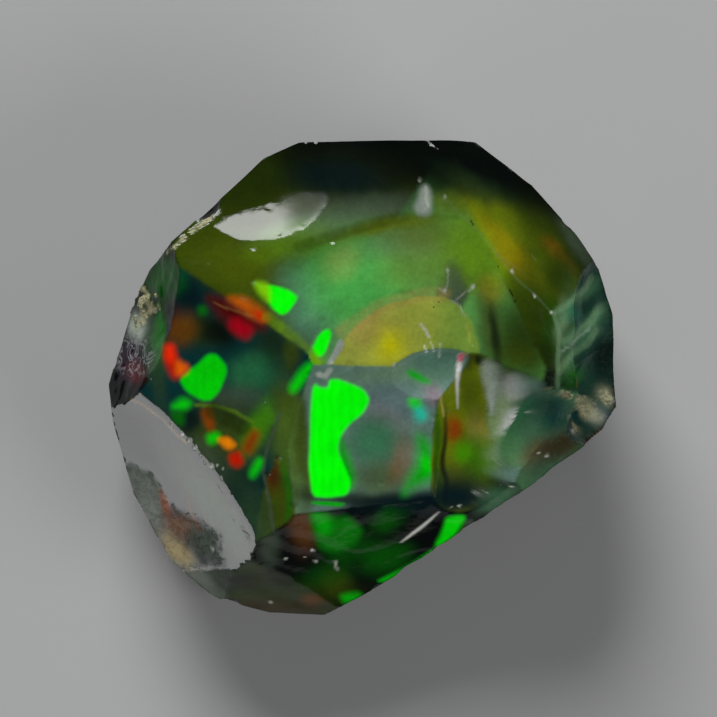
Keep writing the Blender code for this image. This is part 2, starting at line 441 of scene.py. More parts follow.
at_mirror = reaches[names.index("mirror")] - reaches.min(0) < 0.05
on_ridge = np.flatnonzero((to_ridge < ON_RIDGE) & (points[:, 2] > 2.0) & ~at_mirror)
reach -= dents(on_ridge, NICKS, NICK_RADII, NICK_DEPTH, TOP_EDGE)
in_face = np.flatnonzero((to_ridge > IN_FACE) & (points[:, 2] > 1.0))
reach -= dents(in_face, PITS, PIT_RADII, PIT_DEPTH, math.inf)


def oval_distance(x, y, middle, half_sizes, turn):
    """Distance from the middle of a turned oval in the top view, which is one on its rim."""
    heading = math.radians(turn)
    along = (x - middle[0]) * math.cos(heading) + (y - middle[1]) * math.sin(heading)
    across = (y - middle[1]) * math.cos(heading) - (x - middle[0]) * math.sin(heading)
    return np.hypot(along / half_sizes[0], across / half_sizes[1])


# The crust has ragged rims, and sits only on the upper part of the stone's edges.
CRUST_LEVEL = 4.9
ragged = rough_noise(points * 2.4, 40)
patchy = np.clip(0.6 + rough_noise(points * 4.0, 47), 0, 1)
high_up = np.clip((points[:, 2] - CRUST_LEVEL + 0.8 * ragged) / 0.4, 0, 1)


def crust_shares():
    """Where each patch and line of crust lies, and how high it is (mm)."""
    for middle, half_sizes, turn, height in CRUST:
        apart = oval_distance(points[:, 0], points[:, 1], middle, half_sizes, turn)
        yield np.clip((0.95 - apart + 0.75 * ragged) / 0.3, 0, 1) * high_up, height
    for height, width, path in CRUST_LINES:
        apart = path_distance(points[:, 0], points[:, 1], path) / width
        yield np.clip(1.5 - apart, 0, 1) * high_up * patchy, height


crust = np.zeros(len(ways))
thickness = np.zeros(len(ways))
for share, height in crust_shares():
    crust = np.maximum(crust, share)
    thickness = np.maximum(thickness, share * height)
reach = reach + thickness * np.clip(1 + 0.5 * rough_noise(points * 7.0, 49), 0, 2)
points = CORE + ways * reach[:, None]
points[:, 2] = np.maximum(points[:, 2], 0.0)

# Where a steep scoop or the skin stretches the mesh, its points are evened out between their neighbours:
# how many times, how far they go each time, and the mean edge (mm) at which that starts and is in full.
EVENING_ROUNDS = 45
EVENING_STEP = 0.6
EVENED_FROM, EVENED_FULLY = 0.11, 0.18
EVENED_ABOVE = 5.0


def edge_lengths():
    """How long each edge of the mesh is now (mm)."""
    return np.linalg.norm(points[edges[:, 0]] - points[edges[:, 1]], axis=1)


def neighbour_mean(values, weights):
    """The mean of each point's neighbours, which count by the weights of the edges to them."""
    totals = np.bincount(edges.ravel(), weights)
    return np.stack([np.bincount(edges.ravel(), weights * values[edges[:, ::-1].ravel(), part]) / totals
                     for part in range(3)], -1)


alike = np.ones(len(edges) * 2)
neighbours = np.bincount(edges.ravel())
may_stretch = reaches.argmin(0) <= len(SCOOPS)
wall = np.zeros(len(points))
for _ in range(EVENING_ROUNDS):
    stretch = np.bincount(edges.ravel(), np.repeat(edge_lengths(), 2)) / neighbours
    stretch = np.clip((stretch - EVENED_FROM) / (EVENED_FULLY - EVENED_FROM), 0, 1)
    stretch = stretch * (points[:, 2] > EVENED_ABOVE) * may_stretch
    points += EVENING_STEP * stretch[:, None] * (neighbour_mean(points, alike) - points)
    wall = np.maximum(wall, stretch)

stone_mesh.vertices.foreach_set("co", (points * MM).ravel())
stone_mesh.shade_smooth()
stone_mesh.set_sharp_from_angle(angle=math.radians(SHARP_ANGLE))
stone_mesh.update()
stone = bpy.data.objects.new("opal_stone", stone_mesh)
bpy.context.scene.collection.objects.link(stone)


# The colour inside the stone: dark, smoky body opal, milky over the crown, with flashes of pure colour, and
# with painted shade and painted highlights.
# The clouds, flashes and streaks are given in mm in the top view. Each is kept to its own
# break, as in the real stone, where the colour changes from one face to the next.

# Colours as the stone shows them: red, green and blue from 0 to 255.
PALETTE = {
    "night": (7, 12, 11), "ink": (6, 24, 28), "deep_teal": (10, 48, 48), "teal": (22, 92, 72),
    "teal_grey": (72, 108, 92), "grey_green": (92, 120, 88), "leaf": (78, 132, 66), "spring": (72, 162, 74),
    "moss": (54, 68, 12), "dark_moss": (34, 46, 8), "olive": (86, 98, 14), "bright_olive": (88, 124, 22),
    "lens": (134, 145, 58), "yellow": (166, 164, 6), "tan": (150, 128, 72), "amber": (128, 112, 6),
    "brown": (88, 56, 30), "dark_brown": (48, 36, 18), "rust": (120, 58, 10), "maroon": (74, 14, 14),
    "crimson": (152, 2, 28), "red": (232, 44, 4), "orange": (222, 92, 4), "neon": (0, 255, 0),
    "green": (0, 196, 8), "mid_green": (6, 142, 14), "dim_green": (12, 96, 14), "lime": (120, 190, 10),
    "cyan": (14, 172, 144), "mauve": (120, 98, 112), "plum": (30, 20, 30), "slate": (82, 98, 102),
    "haze": (80, 104, 94), "pink": (190, 60, 90), "sage": (98, 128, 52), "grass": (64, 124, 6),
    "spruce": (38, 96, 60), "thicket": (42, 62, 42), "olive_grey": (68, 92, 34), "dark_olive": (58, 72, 34),
    "smoke": (62, 74, 60), "dim_grey": (44, 46, 46), "mist": (104, 108, 102), "forest": (8, 70, 8),
    "murk": (26, 42, 26), "dusk": (24, 46, 38), "lichen": (58, 92, 66), "veil": (96, 116, 76),
    "ember": (176, 30, 0), "copper": (172, 80, 14), "umber": (92, 56, 6), "tangerine": (216, 122, 8),
    "frost": (132, 142, 132), "pearl": (176, 178, 170), "cream": (190, 184, 140), "white": (226, 226, 220),
}

# The body colour of each break, where no cloud lies on it.
BODY = {
    "skin": "night", "brow": "moss", "crown": "leaf", "bloom": "leaf", "eye": "leaf", "shoulder": "moss",
    "glint": "moss", "plate": "smoke", "left": "deep_teal", "fold": "moss", "window": "haze",
    "flute": "olive", "second_flute": "veil", "third_flute": "lichen", "low_right": "lichen",
    "toe": "night", "flake": "night", "crest_chip": "haze", "heel": "dark_moss", "mirror": "dim_grey",
    "instep": "smoke", "left_edge": "night", "upper_chip": "dusk", "middle_chip": "dusk",
    "lower_chip": "dusk",
}

# Breaks that take the same clouds and streaks.
UPPER = ("skin", "brow", "crown", "bloom", "eye", "shoulder", "glint", "plate", "top", "top_corner",
         "shoulder_edge", "right_bow", "right_upper")
LEFT = ("left", "fold", "brow")
WINDOW = ("window", "crest_chip")
CREST = ("flute", "second_flute", "third_flute", "low_right", "crest_chip")
HACKLED = ("third_flute", "low_right")
CHIPPED = ("upper_chip", "middle_chip", "lower_chip")
RIGHT = HACKLED + CHIPPED + ("skin", "shoulder")

# Clouds: the breaks that each lies on, colour, amount, middle and half sizes (mm) and turn (degrees).
CLOUDS_AND_PAINTED_SHADE = [
    (UPPER, "moss", 0.9, (-4.6, 4.6), (2.1, 1.6), -20),
    (UPPER, "olive", 0.3, (-4.6, 4.2), (1.2, 0.7), -15),
    # Painted shade: dark clouds along the top edge, where the stone curves away from the light.
    (UPPER, "night", 1.0, (0.2, 9.4), (9.0, 2.7), 0),
    (UPPER, "ink", 0.8, (-0.9, 7.1), (1.7, 0.6), -5),
    (UPPER, "dark_moss", 0.9, (-3.9, 7.0), (0.7, 1.1), -35),
    (UPPER, "teal_grey", 0.85, (-1.9, 2.6), (0.8, 1.2), 20),
    (UPPER, "grey_green", 0.6, (-1.3, 5.6), (1.8, 0.35), 12),
    (UPPER, "bright_olive", 0.5, (-2.6, 4.9), (1.3, 0.5), 15),
    (UPPER, "spring", 0.95, (0.0, 3.5), (1.7, 1.3), 10),
    (UPPER, "grey_green", 0.7, (1.9, 4.9), (1.5, 0.5), 5),
    (UPPER, "sage", 0.7, (2.1, 4.0), (1.3, 0.8), 0),
    (UPPER, "olive", 0.6, (2.0, 5.3), (1.2, 0.5), 0),
    # Painted shade: dark clouds under the upper right edge, where the stone curves away from the light.
    (UPPER, "dark_moss", 0.8, (4.2, 7.2), (1.3, 0.7), -20),
    (UPPER, "night", 0.9, (3.2, 7.6), (2.2, 0.8), -8),
    (UPPER, "olive", 0.6, (3.4, 6.3), (0.8, 0.3), -10),
    (UPPER, "night", 0.95, (4.3, 7.35), (1.8, 0.6), -22),
    (UPPER, "tan", 0.28, (-0.75, 4.2), (0.45, 0.6), -40),
    (UPPER, "olive", 0.7, (0.9, 5.5), (1.6, 0.22), 10),
    (UPPER, "smoke", 0.7, (0.2, 6.2), (1.6, 0.35), 6),
    (UPPER, "bright_olive", 0.9, (3.9, 4.8), (1.0, 1.1), -40),
    (UPPER, "bright_olive", 0.8, (4.5, 3.9), (0.8, 0.8), -40),
    (UPPER, "smoke", 0.7, (3.35, 3.5), (0.34, 0.55), 10),
    # Painted shade: dark clouds along the right edge, where the stone curves away from the light.
    (UPPER, "night", 0.95, (6.5, 7.1), (3.6, 1.0), -44),
    (UPPER, "night", 0.8, (8.2, 4.4), (1.2, 0.7), -60),
    (UPPER, "smoke", 0.5, (7.75, 4.9), (0.9, 0.25), -50),
    (UPPER, "olive", 0.8, (4.7, 5.95), (1.2, 0.42), -42),
    # Painted shade under the top edge as well.
    (UPPER, "murk", 0.7, (4.0, 6.95), (1.2, 0.35), -25),
    (UPPER, "amber", 0.62, (5.3, 4.6), (1.5, 0.33), -45),
    (UPPER, "rust", 0.35, (7.0, 4.5), (0.6, 0.22), -45),
    (UPPER, "moss", 0.8, (6.5, 3.6), (0.8, 0.9), -30),
    (UPPER, "dark_moss", 0.8, (7.1, 3.8), (0.4, 0.6), -10),
    (UPPER, "dark_moss", 0.95, (5.9, 1.5), (1.15, 1.5), -15),
    (UPPER, "dark_olive", 0.8, (4.55, 2.2), (0.4, 1.2), 8),
    (UPPER, "night", 0.8, (4.82, 1.5), (0.16, 1.0), 8),
    (UPPER, "amber", 0.4, (4.7, 3.3), (0.42, 0.45), -30),
    (UPPER, "forest", 0.3, (6.75, 1.9), (0.3, 0.9), 5),
    (UPPER, "moss", 0.6, (5.6, 0.9), (0.5, 0.4), 0),
    (("shoulder", "skin"), "night", 0.6, (6.6, 0.6), (0.4, 0.9), 0),
    (("shoulder", "skin"), "thicket", 0.9, (7.45, 1.3), (0.36, 1.7), 0),
    ("left", "ink", 0.85, (-6.2, 2.9), (0.75, 0.6), -25),
    ("left", "dim_green", 0.6, (-7.0, 3.5), (0.55, 0.45), 0),
    ("left", "dark_moss", 0.8, (-5.5, 3.9), (1.0, 0.4), -35),
    ("left", "dark_moss", 0.8, (-5.6, 1.7), (0.7, 0.5), 0),
    ("left", "night", 0.85, (-5.0, 1.7), (0.6, 0.45), 0),
    ("left", "murk", 0.9, (-3.0, 1.2), (0.75, 0.75), -30),
    ("left", "spruce", 0.9, (-3.9, 0.25), (0.8, 0.55), 0),
    ("left", "moss", 0.7, (-2.4, 0.9), (0.25, 0.4), 0),
    ("left", "maroon", 0.8, (-6.95, 2.05), (0.32, 0.5), 0),
    ("left", "umber", 0.85, (-6.4, 1.75), (0.45, 0.5), -30),
    (LEFT, "smoke", 0.7, (-4.5, -0.6), (0.9, 0.45), 0),
    (LEFT, "moss", 0.8, (-5.1, -2.0), (1.6, 1.0), 0),
    (LEFT, "ink", 0.9, (-6.1, -1.35), (0.38, 0.45), 0),
    (LEFT, "smoke", 0.7, (-5.4, -2.9), (0.9, 0.45), -45),
    (LEFT, "grass", 0.8, (-3.6, -1.6), (0.35, 0.9), -25),
    (LEFT, "olive_grey", 0.9, (-2.5, -1.6), (0.5, 1.3), 0),
    (LEFT, "moss", 0.6, (-2.6, -1.0), (0.4, 0.8), 10),
    (LEFT, "murk", 0.7, (-4.3, -4.0), (0.6, 1.1), 30),
    (LEFT, "thicket", 0.75, (-3.75, -5.2), (0.5, 1.1), 15),
    (("fold", "left"), "olive_grey", 0.7, (-2.45, -1.7), (0.45, 0.8), 0),
    ("fold", "maroon", 0.75, (-3.15, -3.15), (0.27, 0.65), 0),
    ("fold", "dim_green", 0.6, (-2.6, -4.0), (0.13, 1.1), 4),
    (WINDOW, "grey_green", 0.5, (1.4, 0.25), (1.8, 0.3), 5),
    (WINDOW, "teal_grey", 0.7, (2.7, 0.7), (0.8, 0.45), 10),
    (WINDOW, "slate", 0.7, (1.1, -0.8), (1.1, 0.5), -10),
    (WINDOW, "mauve", 0.35, (0.9, -1.3), (0.7, 0.35), -30),
    (WINDOW, "spruce", 0.75, (0.5, -2.1), (0.75, 0.75), 20),
    ("window", "dark_olive", 0.75, (0.7, -3.5), (0.9, 0.55), 0),
    (WINDOW, "mauve", 0.6, (2.65, -0.55), (0.3, 0.45), 30),
    ("window", "rust", 0.35, (1.4, -2.85), (0.34, 0.7), -10),
    ("window", "dark_moss", 0.8, (2.75, -2.2), (0.12, 1.6), 0),
    ("window", "olive_grey", 0.95, (-2.5, -2.4), (0.4, 2.8), 0),
    ("window", "moss", 0.9, (-2.05, -2.2), (0.22, 2.3), 3),
    ("window", "night", 0.9, (1.0, -4.35), (3.0, 0.28), -5),
    ("flute", "teal_grey", 0.8, (3.0, 0.95), (0.5, 0.4), -10),
    ("flute", "night", 0.7, (3.8, 0.75), (0.3, 0.4), 0),
    ("flute", "rust", 0.8, (3.3, -1.75), (0.3, 0.42), 0),
    ("flute", "tan", 0.4, (4.2, -1.7), (0.3, 0.6), 10),
    ("flute", "moss", 0.6, (4.0, -0.6), (0.3, 0.8), 8),
    ("flute", "dim_green", 0.6, (4.2, -2.8), (0.5, 0.7), 0),
    ("flute", "forest", 0.8, (2.6, -2.6), (0.13, 1.6), 0),
    ("flute", "night", 0.85, (2.92, -2.9), (0.12, 1.5), 0),
    ("flute", "ink", 0.95, (3.5, -4.1), (1.0, 0.75), 0),
    (RIGHT, "deep_teal", 0.85, (6.7, -1.1), (0.9, 0.6), -25),
    (HACKLED, "spruce", 0.7, (5.8, -1.6), (0.4, 0.8), -15),
    (HACKLED, "lichen", 0.6, (5.9, -1.9), (0.45, 0.6), -15),
    (HACKLED, "leaf", 0.3, (5.35, -2.8), (0.5, 1.1), 15),
    (HACKLED, "smoke", 0.4, (5.9, -2.8), (0.9, 0.6), 35),
    (HACKLED, "brown", 0.5, (6.25, -2.6), (0.5, 0.3), 30),
    (HACKLED + ("chord",), "dark_brown", 0.9, (7.3, -2.3), (1.0, 0.4), 33),
    (HACKLED + ("skin", "lower_chip", "right_foot"), "slate", 0.9, (8.5, -1.4), (0.35, 0.25), 40),
    (HACKLED, "teal_grey", 0.7, (4.75, -3.0), (0.18, 1.3), -8),
    (RIGHT, "grey_green", 0.6, (7.1, 2.1), (0.22, 0.6), 0),
    (RIGHT, "lichen", 0.75, (7.75, 2.95), (0.85, 0.2), 43),
    (RIGHT, "lichen", 0.75, (7.95, 1.75), (0.95, 0.22), 46),
    (RIGHT, "lichen", 0.6, (7.6, 0.85), (0.8, 0.14), 50),
    (RIGHT, "forest", 0.7, (7.5, 0.15), (0.4, 0.3), 20),
    (RIGHT, "teal", 0.4, (7.5, 2.3), (0.3, 0.3), 30),
    (("lower_chip", "middle_chip"), "night", 0.8, (8.7, 0.8), (0.35, 0.8), 0),
    (("toe", "window", "flute"), "ink", 0.9, (2.3, -4.35), (2.2, 0.35), 4),
    (("toe", "chord"), "lichen", 0.8, (4.9, -4.25), (0.7, 0.22), 35),
    ("toe", "forest", 0.8, (0.9, -5.0), (0.6, 0.35), 20),
    ("toe", "forest", 0.85, (0.9, -6.4), (0.7, 0.42), 25),
    ("toe", "forest", 0.6, (-0.3, -6.1), (0.8, 0.4), 10),
    ("toe", "brown", 0.6, (-2.1, -5.3), (0.38, 0.65), 0),
    (("toe", "heel", "instep"), "smoke", 0.45, (-3.3, -5.7), (0.3, 0.9), 0),
    (("heel", "toe"), "dark_moss", 0.7, (-2.4, -7.7), (1.8, 0.5), 0),
    (("heel", "toe"), "moss", 0.5, (-0.9, -7.3), (0.4, 0.4), 0),
    (("heel", "toe"), "forest", 0.45, (-1.3, -7.0), (0.9, 0.35), 10),
    (("heel", "instep"), "night", 0.7, (-4.6, -7.2), (0.7, 0.3), -15),
    (("heel", "toe"), "night", 0.6, (-2.9, -7.0), (0.9, 0.35), -8),
    (("heel", "bottom"), "rust", 0.35, (-1.8, -7.9), (0.35, 0.2), 0),
    (("heel", "bottom", "bottom_corner"), "dark_brown", 0.8, (-3.4, -8.2), (1.6, 0.3), 0),
    ("mirror", "night", 0.6, (-8.1, -2.2), (0.6, 1.5), 30),
    ("mirror", "smoke", 0.8, (-5.2, -4.6), (0.45, 2.2), 36),
    ("mirror", "smoke", 0.8, (-7.8, -4.1), (0.5, 0.9), 25),
    ("mirror", "mist", 0.6, (-7.45, -4.75), (0.3, 1.3), 28),
    (("mirror", "instep"), "mist", 0.6, (-6.3, -6.65), (1.1, 0.35), -42),
    ("mirror", "rust", 0.7, (-7.0, -4.55), (0.16, 0.42), 25),
    (("mirror", "instep"), "brown", 0.8, (-6.45, -5.35), (0.5, 0.35), -15),
    (("mirror", "instep"), "murk", 0.9, (-5.55, -5.85), (0.55, 0.35), -40),
    (("mirror", "instep"), "tan", 0.55, (-6.6, -6.2), (0.6, 0.3), -45),
    ("left_edge", "frost", 0.8, (-8.05, 1.75), (0.3, 0.42), -10),
    ("left_edge", "forest", 0.6, (-7.1, 3.6), (0.6, 0.6), -30),
    ("left_edge", "plum", 0.9, (-8.3, 0.7), (0.4, 0.7), 0),
    ("left_edge", "maroon", 0.5, (-8.1, 0.3), (0.3, 0.3), 0),
    (("left_edge", "left"), "thicket", 0.8, (-7.35, 0.6), (0.28, 1.3), 8),
    (("left_edge", "left"), "dim_green", 0.5, (-7.2, 1.6), (0.2, 0.8), 0),
]

# Flashes of fire, and painted highlights and reflections of light on chips and flutes: the breaks that each
# shows on, colour, how much of it is its own glow, the width of its soft rim (mm) and its outline, whose
# corners are rounded off.
FLASHES_AND_PAINTED_GLINTS = [
    ("window", "mid_green", 0.4, 0.5, [(-0.8, -1.8), (-0.45, -2.6), (-0.2, -3.4), (-0.35, -3.95),
     (-0.8, -3.4)]),
    ("window", "neon", 0.9, 0.2, [(-1.74, -0.42), (-1.62, -0.12), (-1.5, -0.28), (-1.15, -0.3),
     (-1.1, 0.0), (-0.8, 0.02), (-0.4, -0.1), (0.08, -0.3), (0.3, -0.7), (0.05, -1.15), (-0.4, -1.5),
     (-0.7, -1.9), (-0.85, -2.4), (-0.6, -3.1), (-0.38, -3.6), (-0.5, -4.08), (-1.2, -4.18),
     (-1.9, -4.1)]),
    (("toe", "window"), "mid_green", 0.3, 0.14, [(-1.9, -4.3), (-0.6, -4.36), (-0.7, -4.5),
     (-1.6, -4.48)]),
    ("toe", "dim_green", 0.5, 0.4, [(-1.9, -4.62), (-0.95, -4.88), (-0.5, -4.85), (0.05, -5.4),
     (-0.25, -5.95), (-0.9, -6.15), (-1.5, -6.05), (-1.7, -5.5)]),
    ("toe", "mid_green", 0.4, 0.5, [(-1.75, -4.7), (-1.1, -4.9), (-1.1, -5.4), (-1.5, -5.5)]),
    (UPPER, "neon", 0.9, 0.16, [(-3.5, 3.32), (-3.2, 3.38), (-2.45, 3.15), (-2.25, 2.95), (-2.6, 2.47),
     (-2.85, 2.34), (-3.2, 2.6)]),
    (UPPER, "lime", 0.3, 0.35, [(-3.85, 3.5), (-3.3, 3.45), (-3.25, 2.75), (-3.6, 3.05)]),
    (UPPER, "neon", 0.8, 0.16, [(-1.16, 1.86), (-1.08, 1.6), (-1.35, 0.9), (-1.58, 0.8), (-1.8, 1.05),
     (-1.5, 1.68)]),
    # Painted highlight: a pale sliver of reflected light on the chip at the ridge's apex.
    (UPPER, "frost", 0.1, 0.08, [(-0.78, 1.55), (-0.62, 1.25), (-1.08, 0.5), (-1.35, 0.32), (-1.0, 1.1)]),
    (UPPER, "lime", 0.35, 0.25, [(-1.9, 1.0), (-1.45, 0.75), (-1.35, 0.4), (-1.6, 0.3), (-2.1, 0.9)]),
    ("left", "green", 0.3, 0.4, [(-2.55, -0.3), (-2.25, 0.25), (-1.85, 0.65), (-1.65, 0.5), (-1.95, 0.0),
     (-2.35, -0.45)]),
    ("left", "green", 0.6, 0.2, [(-6.5, 0.08), (-5.85, 0.55), (-5.5, 0.9), (-5.15, 0.92), (-4.75, 0.45),
     (-5.05, -0.3), (-5.35, -0.68), (-5.65, -0.72), (-6.25, -0.4)]),
    ("left", "green", 0.35, 0.45, [(-6.8, -0.95), (-6.4, -0.62), (-6.05, -0.78), (-6.3, -1.05)]),
    ("left", "dim_green", 0.3, 0.4, [(-6.8, -1.1), (-6.3, -1.1), (-6.35, -1.6), (-6.7, -1.5)]),
    ("left", "green", 0.3, 0.4, [(-5.5, -1.95), (-5.1, -1.85), (-5.0, -2.15), (-5.4, -2.3)]),
    ("left", "green", 0.3, 0.4, [(-4.0, -3.35), (-3.62, -2.75), (-3.45, -2.85), (-3.85, -3.5)]),
    ("left", "dim_green", 0.2, 0.35, [(-5.8, 2.6), (-5.5, 2.6), (-5.45, 2.35), (-5.75, 2.3)]),
    (("left", "brow"), "maroon", 0.2, 0.6, [(-5.5, 3.0), (-4.8, 2.95), (-3.45, 2.05), (-3.4, 1.8),
     (-3.9, 1.75), (-4.9, 2.1), (-5.3, 2.6)]),
    ("left", "crimson", 0.55, 0.45, [(-4.65, 2.15), (-4.3, 2.2), (-3.8, 1.85), (-4.05, 1.45),
     (-4.35, 1.55), (-4.7, 1.85)]),
    (("left", "brow", "crown"), "copper", 0.4, 0.5, [(-4.75, 2.95), (-4.2, 2.95), (-3.7, 2.7),
     (-3.25, 2.2), (-3.55, 2.08), (-4.4, 2.6)]),
    (("left", "brow", "crown"), "ember", 0.5, 0.35, [(-3.85, 2.5), (-3.45, 2.4), (-3.3, 2.15),
     (-3.6, 2.12)]),
    (("left", "left_edge"), "ember", 0.4, 0.45, [(-7.0, 0.95), (-6.6, 0.95), (-6.45, 0.5), (-6.5, 0.1),
     (-6.72, 0.1), (-7.0, 0.6)]),
    (("left", "left_edge"), "red", 0.7, 0.4, [(-7.0, 1.25), (-6.65, 1.25), (-6.6, 0.8), (-6.8, 0.6),
     (-7.0, 0.8)]),
    ("left", "orange", 0.4, 0.35, [(-6.6, 0.75), (-6.1, 0.5), (-6.3, 0.2), (-6.6, 0.2)]),
    ("left", "rust", 0.35, 0.35, [(-5.75, -1.05), (-5.35, -0.95), (-5.2, -1.75), (-5.5, -1.8)]),
    ("left", "tangerine", 0.45, 0.25, [(-5.15, -2.1), (-4.75, -2.0), (-4.4, -2.3), (-4.6, -2.48),
     (-4.85, -2.45)]),
    (("left", "fold"), "ember", 0.5, 0.35, [(-4.7, -2.65), (-4.3, -2.5), (-4.15, -2.95), (-4.4, -3.12),
     (-4.65, -3.0)]),
    (("left", "fold"), "rust", 0.35, 0.45, [(-4.3, -2.5), (-3.9, -1.7), (-3.55, -1.9), (-3.9, -2.7)]),
    # Painted highlight: the pale drop of reflected light near the top edge.
    (UPPER, "frost", 0.05, 0.3, [(1.85, 6.2), (2.05, 6.5), (2.1, 6.8), (2.3, 6.95), (2.5, 6.7), (2.5, 6.0),
     (2.35, 5.85), (1.95, 5.9)]),
    ("window", "mid_green", 0.2, 0.7, [(1.95, -1.9), (2.4, -2.2), (2.65, -3.1), (2.5, -3.6), (1.75, -3.85),
     (1.5, -4.1), (1.7, -3.5), (2.0, -2.9)]),
    ("window", "green", 0.3, 0.6, [(2.15, -2.85), (2.45, -2.85), (2.5, -3.25), (2.2, -3.3)]),
    ("window", "cyan", 0.3, 0.5, [(1.85, -0.85), (2.2, -1.0), (2.3, -1.4), (2.0, -1.5)]),
    ("window", "green", 0.3, 0.45, [(1.7, -0.65), (2.05, -0.65), (2.1, -0.95), (1.8, -0.95)]),
    (WINDOW, "mid_green", 0.3, 0.3, [(1.6, 0.35), (2.0, 0.3), (2.5, -0.05), (2.35, -0.12), (1.7, 0.12)]),
    # Painted reflections: pale patches where the flutes and hackles mirror the light.
    (CREST, "frost", 0.0, 0.14, [(4.28, 0.72), (4.5, 0.75), (4.85, 0.45), (4.8, -0.3), (4.7, -1.2),
     (4.6, -1.2), (4.5, -0.6), (4.3, 0.1)]),
    (CREST, "white", 0.0, 0.25, [(5.2, 0.22), (5.7, -0.02), (5.75, -0.55), (5.4, -0.75), (5.15, -0.3)]),
    (CREST, "white", 0.0, 0.06, [(5.6, -0.82), (5.5, -1.25), (5.12, -1.84), (4.84, -1.96), (4.98, -1.6),
     (5.3, -1.12)]),
    (CREST, "night", 0.0, 0.12, [(4.02, 0.95), (4.32, 0.85), (4.3, 0.45), (4.08, 0.58)]),
    (CREST, "night", 0.0, 0.16, [(4.84, 0.5), (5.16, 0.35), (5.12, -0.3), (4.9, -0.8)]),
    # Painted highlight: a thin prismatic streak of light down the flute.
    (CREST, "pearl", 0.2, 0.14, [(3.46, 0.95), (3.60, 0.95), (3.56, 0.3), (3.47, -0.3), (3.43, -1.15),
     (3.39, -0.4), (3.38, 0.1)]),
    (CREST, "pink", 0.3, 0.16, [(3.47, 0.92), (3.64, 0.92), (3.60, 0.66), (3.47, 0.64)]),
    (CREST, "white", 0.4, 0.12, [(3.44, 0.6), (3.57, 0.6), (3.52, 0.32), (3.42, 0.32)]),
    ("flute", "grass", 0.2, 0.5, [(3.45, -2.3), (3.9, -2.3), (4.0, -2.7), (3.6, -3.0), (3.35, -2.7)]),
    ("flute", "rust", 0.45, 0.4, [(3.15, -1.5), (3.45, -1.5), (3.5, -1.95), (3.15, -2.1)]),
    # Painted reflection: a thin pale blade of light along the toe's edge.
    ("toe", "pearl", 0.2, 0.08, [(1.2, -5.97), (2.14, -5.21), (2.9, -4.63), (2.22, -5.29)]),
    (("toe", "flake"), "green", 0.5, 0.25, [(3.05, -4.88), (3.8, -4.9), (3.35, -5.55), (2.75, -6.05),
     (2.65, -5.95), (2.95, -5.3)]),
    (("toe", "flake", "heel"), "mid_green", 0.5, 0.16, [(3.2, -5.7), (3.0, -5.75), (2.2, -6.35),
     (1.2, -6.9), (0.5, -7.25), (0.9, -7.3), (2.4, -6.6)]),
    (("heel", "toe", "bottom"), "mid_green", 0.3, 0.35, [(-0.8, -7.75), (-0.2, -7.65), (0.1, -7.85),
     (-0.6, -8.1)]),
]
